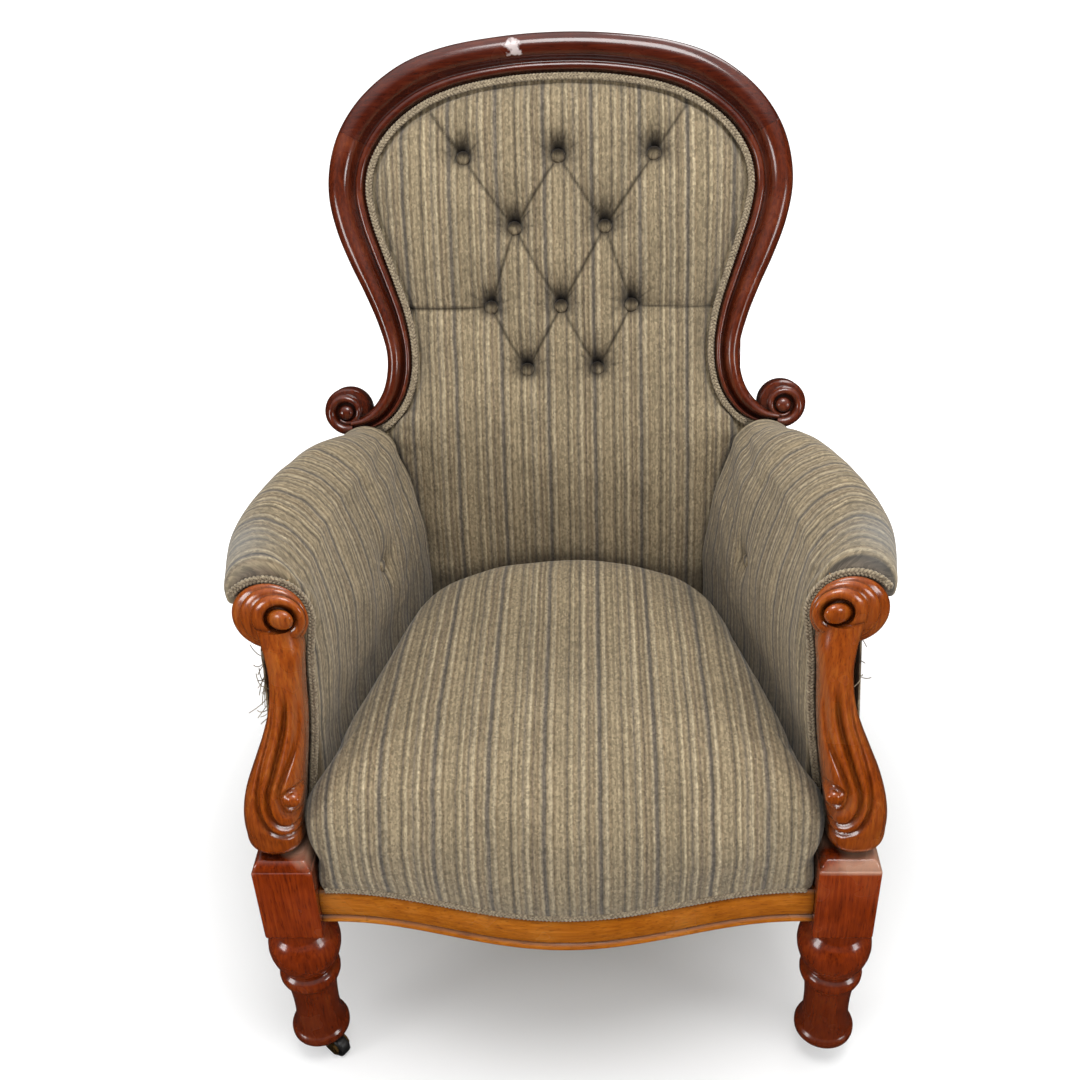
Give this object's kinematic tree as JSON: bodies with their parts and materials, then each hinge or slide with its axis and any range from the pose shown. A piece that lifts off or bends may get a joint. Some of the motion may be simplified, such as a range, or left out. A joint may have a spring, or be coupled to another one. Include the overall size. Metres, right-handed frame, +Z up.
{
  "type": "spoon-back armchair",
  "caption": "Victorian style spoon-back armchair with a buttoned back, scroll arms, a sprung seat, turned front legs and small castors.",
  "frame": {"origin": "on the floor under the middle of the chair's overall box", "axes": "+Z up, the sitter faces -Y, +X to the right as seen from the front"},
  "size_m": [0.6758, 0.7138, 1.0132],
  "materials": {
    "mahogany_dark": "French polished mahogany, dark red brown",
    "mahogany_honey": "worn French polish on mahogany, orange brown",
    "beech": "bare beech",
    "tweed": "woven striped wool tweed",
    "braid": "braided upholstery gimp",
    "jute": "woven jute webbing",
    "spring_steel": "coppered spring wire, dulled",
    "castor_brass": "aged brass",
    "castor_iron": "black iron"
  },
  "bodies": {
    "chair": {"crest_rail": "mahogany_dark", "back_stile_left": "mahogany_dark", "back_stile_right": "mahogany_dark", "rear_leg_left": "mahogany_dark", "rear_leg_right": "mahogany_dark", "arm_support_left": "mahogany_honey", "arm_support_right": "mahogany_honey", "front_leg_left": "mahogany_honey", "front_leg_right": "mahogany_honey", "front_rail": "mahogany_honey", "back_rail": "beech", "side_rail_left": "beech", "side_rail_right": "beech", "arm_rail_left": "beech", "arm_rail_right": "beech", "seat_pad": "tweed", "inside_back": "tweed", "outside_back": "tweed", "arm_pad_left": "tweed", "arm_pad_right": "tweed", "outside_arm_left": "tweed", "outside_arm_right": "tweed", "back_button_1": "tweed", "back_button_2": "tweed", "back_button_3": "tweed", "back_button_4": "tweed", "back_button_5": "tweed", "back_button_6": "tweed", "back_button_7": "tweed", "back_button_8": "tweed", "back_button_9": "tweed", "back_button_10": "tweed", "arm_button_left": "tweed", "arm_button_right": "tweed", "back_gimp": "braid", "seat_gimp": "braid", "arm_gimp_left": "braid", "arm_gimp_right": "braid", "seat_webbing": "jute", "seat_spring_1": "spring_steel", "seat_spring_2": "spring_steel", "seat_spring_3": "spring_steel", "seat_spring_4": "spring_steel", "seat_spring_5": "spring_steel", "seat_spring_6": "spring_steel", "seat_spring_7": "spring_steel", "seat_spring_8": "spring_steel", "seat_spring_9": "spring_steel", "castor_plate_front_right": "castor_brass", "castor_plate_front_left": "castor_brass", "castor_plate_rear_right": "castor_brass", "castor_plate_rear_left": "castor_brass"},
    "fork_front_right": {"castor_fork_front_right": "castor_brass"},
    "wheel_front_right": {"castor_wheel_front_right": "castor_iron"},
    "fork_front_left": {"castor_fork_front_left": "castor_brass"},
    "wheel_front_left": {"castor_wheel_front_left": "castor_iron"},
    "fork_rear_right": {"castor_fork_rear_right": "castor_brass"},
    "wheel_rear_right": {"castor_wheel_rear_right": "castor_iron"},
    "fork_rear_left": {"castor_fork_rear_left": "castor_brass"},
    "wheel_rear_left": {"castor_wheel_rear_left": "castor_iron"}
  },
  "joints": [
    {"name": "swivel_front_right", "type": "hinge", "parent": "chair", "child": "fork_front_right", "pos_m": [0.294, -0.29193, 0.03], "axis": [0, 0, 1], "continuous": true},
    {"name": "roll_front_right", "type": "hinge", "parent": "fork_front_right", "child": "wheel_front_right", "pos_m": [0.28966, -0.26731, 0.01295], "axis": [-0.9848, -0.1736, 0], "continuous": true},
    {"name": "swivel_front_left", "type": "hinge", "parent": "chair", "child": "fork_front_left", "pos_m": [-0.294, -0.29193, 0.03], "axis": [0, 0, 1], "continuous": true},
    {"name": "roll_front_left", "type": "hinge", "parent": "fork_front_left", "child": "wheel_front_left", "pos_m": [-0.27352, -0.30627, 0.01295], "axis": [0.5736, 0.8192, 0], "continuous": true},
    {"name": "swivel_rear_right", "type": "hinge", "parent": "chair", "child": "fork_rear_right", "pos_m": [0.232, 0.24624, 0.03], "axis": [0, 0, 1], "continuous": true},
    {"name": "roll_rear_right", "type": "hinge", "parent": "fork_rear_right", "child": "wheel_rear_right", "pos_m": [0.232, 0.27124, 0.01295], "axis": [-1, 0, 0], "continuous": true},
    {"name": "swivel_rear_left", "type": "hinge", "parent": "chair", "child": "fork_rear_left", "pos_m": [-0.232, 0.24624, 0.03], "axis": [0, 0, 1], "continuous": true},
    {"name": "roll_rear_left", "type": "hinge", "parent": "fork_rear_left", "child": "wheel_rear_left", "pos_m": [-0.232, 0.27124, 0.01295], "axis": [-1, 0, 0], "continuous": true}
  ]
}
